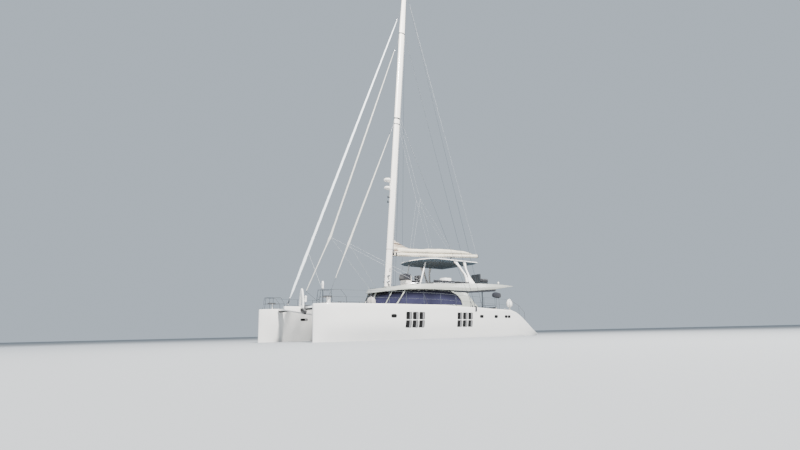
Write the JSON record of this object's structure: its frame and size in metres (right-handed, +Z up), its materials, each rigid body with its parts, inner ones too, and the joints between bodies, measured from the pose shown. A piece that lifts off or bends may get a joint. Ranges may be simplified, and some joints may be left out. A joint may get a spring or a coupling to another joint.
{
  "type": "sailing catamaran",
  "caption": "Cruising sailing catamaran: two decked hulls joined by a bridge deck, glazed saloon, flybridge under a hardtop, raked mast, furled headsails, boom with stowed mainsail.",
  "frame": {"origin": "on the waterline, amidships, on the centreline between the hulls", "axes": "+X forward to the bows, +Y to port, +Z up along the mast"},
  "size_m": [21.3, 9.9, 33.75],
  "materials": {
    "gelcoat": "glossy warm white gelcoat",
    "superstructure": "satin pale grey-green gelcoat",
    "bottom_paint": "matt dark blue antifouling",
    "tinted_glass": "very dark tinted acrylic glazing",
    "spar": "white painted spar",
    "stainless": "polished stainless tube and wire",
    "bronze": "dull bronze",
    "sailcloth": "bluish white rolled sailcloth",
    "sail_cover": "ivory acrylic canvas",
    "netting": "woven trampoline net",
    "cushion": "charcoal outdoor fabric",
    "joinery": "oiled teak",
    "dark_metal": "black powder coat"
  },
  "bodies": {
    "root": {"hull_port": "gelcoat", "hull_starboard": "gelcoat", "keel_port": "bottom_paint", "keel_starboard": "bottom_paint", "shaft_bracket_port": "bronze", "shaft_bracket_starboard": "bronze", "bridge_deck": "gelcoat", "bowsprit": "gelcoat", "crossbeam": "gelcoat", "striker": "gelcoat", "trampoline_port": "netting", "trampoline_starboard": "netting", "flybridge": "superstructure", "saloon_shell": "superstructure", "saloon_glass": "tinted_glass", "saloon_settee": "sail_cover", "saloon_table": "joinery", "galley_counter": "joinery", "mast": "spar", "radar_domes": "spar", "genoa_furled": "sailcloth", "solent_furled": "sailcloth", "staysail_furled": "sailcloth", "shroud_lower_port": "stainless", "shroud_lower_starboard": "stainless", "shroud_intermediate_port": "stainless", "shroud_intermediate_starboard": "stainless", "shroud_cap_port": "stainless", "shroud_cap_starboard": "stainless", "gooseneck": "stainless", "hardtop": "gelcoat", "hardtop_leg_aft_port": "gelcoat", "hardtop_leg_aft_starboard": "gelcoat", "hardtop_leg_fore_port": "gelcoat", "hardtop_leg_fore_starboard": "gelcoat", "helm_console": "gelcoat", "helm_seat": "cushion", "wet_bar": "gelcoat", "flybridge_sofa": "cushion", "flybridge_table": "joinery", "flybridge_sunpad": "cushion", "aft_lounger_port": "cushion", "aft_lounger_starboard": "cushion", "cockpit_post_port": "dark_metal", "cockpit_post_starboard": "dark_metal", "cockpit_sofa": "cushion", "cockpit_table": "joinery", "flybridge_stair": "gelcoat", "pulpit_port": "stainless", "pulpit_starboard": "stainless", "lifelines_port": "stainless", "lifelines_starboard": "stainless"},
    "boom": {"boom": "spar", "mainsail_cover": "sail_cover"},
    "rudder_port": {"rudder_port": "bottom_paint"},
    "rudder_starboard": {"rudder_starboard": "bottom_paint"},
    "propeller_port": {"propeller_port": "bronze"},
    "propeller_starboard": {"propeller_starboard": "bronze"},
    "helm_wheel": {"helm_wheel": "stainless"},
    "saloon_door": {"saloon_door": "tinted_glass"}
  },
  "joints": [
    {"name": "boom_swing", "type": "hinge", "parent": "root", "child": "boom", "pos_m": [1.2639, 0, 6.56], "axis": [-0.0941, 0, 0.9956], "range_deg": [-38, 38]},
    {"name": "helm_turn", "type": "hinge", "parent": "root", "child": "helm_wheel", "pos_m": [0.0397, 0.4, 4.55], "axis": [1, 0, 0], "range_deg": [-540, 540]},
    {"name": "rudder_port_turn", "type": "hinge", "parent": "root", "child": "rudder_port", "pos_m": [-8.6, 3.66, 0], "axis": [0, 0, 1], "range_deg": [-35, 35]},
    {"name": "rudder_starboard_turn", "type": "hinge", "parent": "root", "child": "rudder_starboard", "pos_m": [-8.6, -3.66, 0], "axis": [0, 0, 1], "range_deg": [-35, 35]},
    {"name": "propeller_port_spin", "type": "hinge", "parent": "root", "child": "propeller_port", "pos_m": [-7.48, 3.66, -0.9376], "axis": [-0.9929, 0, -0.1191], "continuous": true},
    {"name": "propeller_starboard_spin", "type": "hinge", "parent": "root", "child": "propeller_starboard", "pos_m": [-7.48, -3.66, -0.9376], "axis": [-0.9929, 0, -0.1191], "continuous": true},
    {"name": "saloon_door_slide", "type": "slide", "parent": "root", "child": "saloon_door", "axis": [0, 1, 0], "range_m": [0, 1.2]}
  ],
  "couplings": [
    {"joint": "rudder_port_turn", "follows": "helm_turn", "ratio": 0.064815},
    {"joint": "rudder_starboard_turn", "follows": "helm_turn", "ratio": 0.064815}
  ]
}
